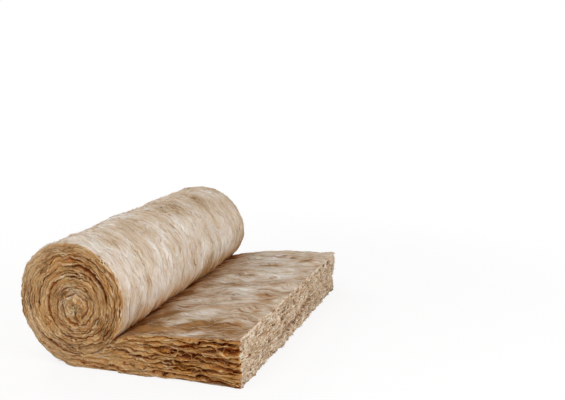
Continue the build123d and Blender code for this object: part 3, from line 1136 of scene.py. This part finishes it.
half = add_node(lips, "ShaderNodeMath", {"operation": "MULTIPLY_ADD"}, {0: half, 1: side, 2: bend})
aside = add_node(lips, "ShaderNodeVectorMath", {"operation": "SCALE"}, {0: across, "Scale": half})
moved = add_up(lips, "ShaderNodeVectorMath", seat, out, aside)
shaped = add_node(lips, "GeometryNodeSetPosition", None, {"Geometry": given["Geometry"], "Position": moved})
finish_tree(lips, shaped, given["Material"])

# The same brown glass wool, torn: matt, mottled over 45 mm with crumbs of 5 mm, and paler at
# the tip of a lip, where loose white fibres stand out.
torn_wool, tree = new_material("torn_glass_wool")
place = add_node(tree, "ShaderNodeTexCoord").outputs["Object"]
tip = add_node(tree, "ShaderNodeAttribute", {"attribute_name": "tip"}).outputs["Fac"]
mottle = add_node(tree, "ShaderNodeTexNoise", None, {"Vector": place, "Scale": cells(45), "Detail": 4.0})
crumb = add_node(tree, "ShaderNodeTexNoise", None, {"Vector": place, "Scale": cells(5.26), "Detail": 3.0})
tone = add_shares(tree, -0.12, ((mottle, 0.8), (crumb, 0.3), (tip, 0.12)))
torn_colour = set_ramp(add_node(tree, "ShaderNodeValToRGB", None, {0: tone}), (
    (0.26, "#8C5B28"), (0.42, "#B88A56"), (0.55, "#D0AA7A"), (0.72, "#EBD6B2")))
bump = add_node(tree, "ShaderNodeBump", None, {"Height": crumb, "Strength": 0.6, "Distance": 0.004})
shader = add_node(tree, "ShaderNodeBsdfPrincipled", None, {
    "Base Color": torn_colour, "Roughness": 0.95, "Specular IOR Level": 0.0, "Normal": bump})
add_node(tree, "ShaderNodeOutputMaterial", None, {"Surface": shader})

lip_mesh = run_tree(torn_edges, lips, {**lip_sizes, "Wool": blanket, "Material": torn_wool})
face_outwards(lip_mesh)
rest_on_floor(lip_mesh)
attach(torn_edges, "root")

# Loose fibres. Locks of fibre lie loose on the wool, or stand off its torn faces. Each is a
# thin tapered strand, laid along the grain and then dropped onto the surface. Their lengths,
# thicknesses, lifts and curls are in metres, and their spreads in radians.
strand_inputs = dict.fromkeys((
    "Face", "Strands per Square Metre", "Length", "Thickness", "Spread", "Lift", "Curl", "Darkest", "Palest",
), "Float")
strand_inputs.update({"Points": "Int", "Seed": "Int", "Material": "Material"})
strand_sizes = {
    "skin_fibres": {
        "Face": on_skin, "Strands per Square Metre": 1150.0, "Length": 0.085, "Thickness": 0.0008,
        "Spread": 0.34, "Lift": 0.005, "Curl": 0.03, "Points": 7, "Darkest": 0.45, "Palest": 1.0, "Seed": 11,
    },
    "side_fibres": {
        "Face": on_side, "Strands per Square Metre": 900.0, "Length": 0.030, "Thickness": 0.0006,
        "Spread": 0.6, "Lift": 0.008, "Curl": 0.018, "Points": 6, "Darkest": 0.05, "Palest": 0.5, "Seed": 12,
    },
    "cut_end_fibres": {
        "Face": on_cut_end, "Strands per Square Metre": 6000.0, "Length": 0.022, "Thickness": 0.0007,
        "Spread": 1.5, "Lift": 0.010, "Curl": 0.012, "Points": 5, "Darkest": 0.1, "Palest": 0.8, "Seed": 13,
    },
}
strands, given = new_tree("loose_strands", strand_inputs)
face, fluffy, grain, own_tint = [
    add_node(strands, "GeometryNodeInputNamedAttribute", {"data_type": kind}, {"Name": name})
    for name, kind in (("cut_face", "FLOAT"), ("fluff", "FLOAT"),
                       ("grain", "FLOAT_VECTOR"), ("tint", "FLOAT"))
]
away = add_node(strands, "ShaderNodeMath", {"operation": "SUBTRACT"}, {0: face, 1: given["Face"]})
away = add_node(strands, "ShaderNodeMath", {"operation": "ABSOLUTE"}, {0: away})
density = add_node(strands, "ShaderNodeMapRange", None,
                   {"Value": away, "From Min": 0.2, "From Max": 0.8, "To Min": 1.0, "To Max": 0.0})
for share in (fluffy, given["Strands per Square Metre"]):
    density = add_node(strands, "ShaderNodeMath", {"operation": "MULTIPLY"}, {0: density, 1: share})
scattered = add_node(strands, "GeometryNodeDistributePointsOnFaces", {"distribute_method": "RANDOM"},
                     {"Mesh": given["Geometry"], "Density": density, "Seed": given["Seed"]})
tint = add_node(strands, "FunctionNodeRandomValue", {"data_type": "FLOAT"},
                {2: given["Darkest"], 3: given["Palest"], "Seed": 3})
tinted = add_node(strands, "GeometryNodeStoreNamedAttribute", {"data_type": "FLOAT", "domain": "POINT"},
                  {"Geometry": scattered, "Name": "tint", "Value": tint.outputs[1]})
laid = add_node(strands, "FunctionNodeAlignRotationToVector", {"axis": "X"}, {"Vector": grain})
other_way = add_node(strands, "ShaderNodeMath", {"operation": "MULTIPLY"}, {0: given["Spread"], 1: -1.0})
splay = add_node(strands, "FunctionNodeRandomValue", {"data_type": "FLOAT"},
                 {2: other_way, 3: given["Spread"], "Seed": 5})
splay = add_node(strands, "FunctionNodeAxisAngleToRotation", None,
                 {"Axis": scattered.outputs["Normal"], "Angle": splay.outputs[1]})
laid = add_node(strands, "FunctionNodeRotateRotation", {"rotation_space": "GLOBAL"},
                {"Rotation": laid, "Rotate By": splay})
strand = add_node(strands, "GeometryNodeCurvePrimitiveLine", None,
                  {"Start": (-0.5, 0.0, 0.0), "End": (0.5, 0.0, 0.0)})
strand = add_node(strands, "GeometryNodeResampleCurve", None, {"Curve": strand, "Count": given["Points"]})
length = add_node(strands, "FunctionNodeRandomValue", {"data_type": "FLOAT"}, {2: 0.45, 3: 1.4, "Seed": 7})
length = add_node(strands, "ShaderNodeMath", {"operation": "MULTIPLY"},
                  {0: length.outputs[1], 1: given["Length"]})
laid_out = add_node(strands, "GeometryNodeInstanceOnPoints", None,
                    {"Points": tinted, "Instance": strand, "Rotation": laid, "Scale": length})
laid_out = add_node(strands, "GeometryNodeRealizeInstances", None, {"Geometry": laid_out})

# Each strand curls, and comes down on the wool with its two ends a little raised.
position = add_node(strands, "GeometryNodeInputPosition")
curl = add_node(strands, "ShaderNodeTexNoise", None, {"Vector": position, "Scale": cells(33), "Detail": 1.0})
curl = add_node(strands, "ShaderNodeVectorMath", {"operation": "SUBTRACT"},
                {0: curl.outputs["Color"], 1: middle_grey})
curl = add_node(strands, "ShaderNodeVectorMath", {"operation": "SCALE"}, {0: curl, "Scale": given["Curl"]})
curled = add_node(strands, "GeometryNodeSetPosition", None, {"Geometry": laid_out, "Offset": curl})
nearest = add_node(strands, "GeometryNodeProximity", {"target_element": "FACES"}, {0: given["Geometry"]})
dropped = add_node(strands, "GeometryNodeSetPosition", None,
                   {"Geometry": curled, "Position": nearest.outputs["Position"]})
outward = add_node(strands, "GeometryNodeInputNormal")
outward = add_node(strands, "GeometryNodeSampleNearestSurface", {"data_type": "FLOAT_VECTOR"},
                   {"Mesh": given["Geometry"], "Value": outward})
along = add_node(strands, "GeometryNodeSplineParameter")
from_middle = add_node(strands, "ShaderNodeMapRange", None,
                       {"Value": along.outputs["Factor"], "To Min": -1.0, "To Max": 1.0})
from_middle = add_node(strands, "ShaderNodeMath", {"operation": "ABSOLUTE"}, {0: from_middle})
raised = add_node(strands, "ShaderNodeMath", {"operation": "POWER"}, {0: from_middle, 1: 2.5})
for share in (own_tint, given["Lift"]):
    raised = add_node(strands, "ShaderNodeMath", {"operation": "MULTIPLY"}, {0: raised, 1: share})
raised = add_node(strands, "ShaderNodeVectorMath", {"operation": "SCALE"},
                  {0: outward.outputs[0], "Scale": raised})
dropped = add_node(strands, "GeometryNodeSetPosition", None, {"Geometry": dropped, "Offset": raised})
taper = add_node(strands, "ShaderNodeMapRange", None,
                 {"Value": from_middle, "From Min": 0.2, "From Max": 1.0, "To Min": 1.0, "To Max": 0.15})
tapered = add_node(strands, "GeometryNodeSetCurveRadius", None, {"Curve": dropped, "Radius": taper})
section = add_node(strands, "GeometryNodeCurvePrimitiveCircle", None,
                   {"Resolution": 3, "Radius": given["Thickness"]})
solid = add_node(strands, "GeometryNodeCurveToMesh", None,
                 {"Curve": tapered, "Profile Curve": section, "Fill Caps": True})
finish_tree(strands, solid, given["Material"])

# Loose glass fibre, with less or more binder on it: each lock has its own tint, from brown to
# nearly white, mottled over 25 mm.
fibre, tree = new_material("loose_glass_fibre")
tint = add_node(tree, "ShaderNodeAttribute", {"attribute_name": "tint"}).outputs["Fac"]
place = add_node(tree, "ShaderNodeTexCoord").outputs["Object"]
mottle = add_node(tree, "ShaderNodeTexNoise", None, {"Vector": place, "Scale": cells(25), "Detail": 2.0})
tone = add_shares(tree, 0.0, ((mottle, 0.5), (tint, 0.5)))
fibre_colour = set_ramp(add_node(tree, "ShaderNodeValToRGB", None, {0: tone}), (
    (0.15, "#9A6A3A"), (0.35, "#BC9263"), (0.55, "#D6C0A5"), (0.75, "#EAE0D4"), (0.95, "#F6F1EA")))
shader = add_node(tree, "ShaderNodeBsdfPrincipled", None,
                  {"Base Color": fibre_colour, "Roughness": 0.95, "Specular IOR Level": 0.0})
add_node(tree, "ShaderNodeOutputMaterial", None, {"Surface": shader})

for name, sizes in strand_sizes.items():
    fibres = new_piece(name, blanket.data.copy())
    rest_on_floor(run_tree(fibres, strands, {**sizes, "Material": fibre}))
    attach(fibres, "root")

# The floor. A plain pale floor under a white sky, painted matt. It looks a little darker round
# the blanket and white further off, and it keeps the blanket's shadow.
floor_mesh = bpy.data.meshes.new("floor")
floor_mesh.from_pydata([(-9, -7, 0), (9, -7, 0), (9, 14, 0), (-9, 14, 0)], [], [(0, 1, 2, 3)])
floor = new_piece("floor", floor_mesh)
floor_paint, tree = new_material("pale_floor_paint")
place = add_node(tree, "ShaderNodeTexCoord").outputs["Object"]
apart = add_node(tree, "ShaderNodeVectorMath", {"operation": "LENGTH"}, {0: place}).outputs["Value"]
glow = add_node(tree, "ShaderNodeMapRange", {"interpolation_type": "SMOOTHSTEP"},
                {"Value": apart, "From Min": 0.7, "From Max": 2.6, "To Min": 0.84, "To Max": 1.0})
rays = add_node(tree, "ShaderNodeLightPath").outputs
seen = add_node(tree, "ShaderNodeMath", {"operation": "MULTIPLY"}, {0: rays["Is Camera Ray"], 1: glow})
matt = add_node(tree, "ShaderNodeBsdfDiffuse", None, {"Color": linear("#EEECE9")})
white = add_node(tree, "ShaderNodeEmission", None, {"Color": linear("#FFFFFF"), "Strength": 1.0})
mixed = add_node(tree, "ShaderNodeMixShader", None, {0: seen, 1: matt, 2: white})
add_node(tree, "ShaderNodeOutputMaterial", None, {"Surface": mixed})
floor.data.materials.append(floor_paint)

# The light. A white sky all round, and three large soft lamps: one above the near end, a
# stronger one low at the right, and one behind. Places and sizes are in metres.
sky_light = 0.55
lamps = {
    "above": {"place": (-0.4, -1.8, 2.8), "aim": (0.0, 0.0, 0.2), "size": 1.6, "watts": 27},
    "right": {"place": (3.1, -1.1, 0.95), "aim": (0.0, 0.0, 0.2), "size": 1.2, "watts": 61},
    "behind": {"place": (-2.6, 1.2, 2.2), "aim": (-0.2, 0.0, 0.3), "size": 1.2, "watts": 34},
}
world = bpy.data.worlds.new("studio")
bpy.context.scene.world = world
world.use_nodes = True
tree = world.node_tree
tree.nodes.clear()
rays = add_node(tree, "ShaderNodeLightPath").outputs
seen = rays["Is Camera Ray"]
for ray in ("Is Glossy Ray", "Is Transmission Ray"):
    seen = add_node(tree, "ShaderNodeMath", {"operation": "MAXIMUM"}, {0: seen, 1: rays[ray]})
strength = add_node(tree, "ShaderNodeMapRange", None, {"Value": seen, "To Min": sky_light, "To Max": 1.0})
sky = add_node(tree, "ShaderNodeBackground", None, {"Color": linear("#FFFFFF"), "Strength": strength})
add_node(tree, "ShaderNodeOutputWorld", None, {"Surface": sky})


def point_at(thing, place, aim):
    """Puts a lamp or the camera in its place, and turns it to look at a point."""
    bpy.context.scene.collection.objects.link(thing)
    thing.location = place
    thing.rotation_mode = "QUATERNION"
    thing.rotation_quaternion = (Vector(aim) - Vector(place)).to_track_quat("-Z", "Y")


for name, lamp in lamps.items():
    light = bpy.data.lights.new(name, "AREA")
    light.shape = "SQUARE"
    light.size = lamp["size"]
    light.energy = lamp["watts"]
    point_at(bpy.data.objects.new(name, light), lamp["place"], lamp["aim"])

# The camera. It stands to the right of the near end, a little above the blanket, with a lens a
# little longer than normal.
camera_turned = math.radians(18.0)
camera_raised = math.radians(10.8)
camera_aim = Vector((0.3705, 0.0, 0.530))
camera_distance = 3.152
lens = bpy.data.cameras.new("camera")
lens.lens = 51.35
lens.sensor_width = 36
camera = bpy.data.objects.new("camera", lens)
back = Vector((math.sin(camera_turned) * math.cos(camera_raised),
               -math.cos(camera_turned) * math.cos(camera_raised),
               math.sin(camera_raised)))
point_at(camera, camera_aim + back * camera_distance, camera_aim)
bpy.context.scene.camera = camera
bpy.context.scene.view_settings.view_transform = "Standard"
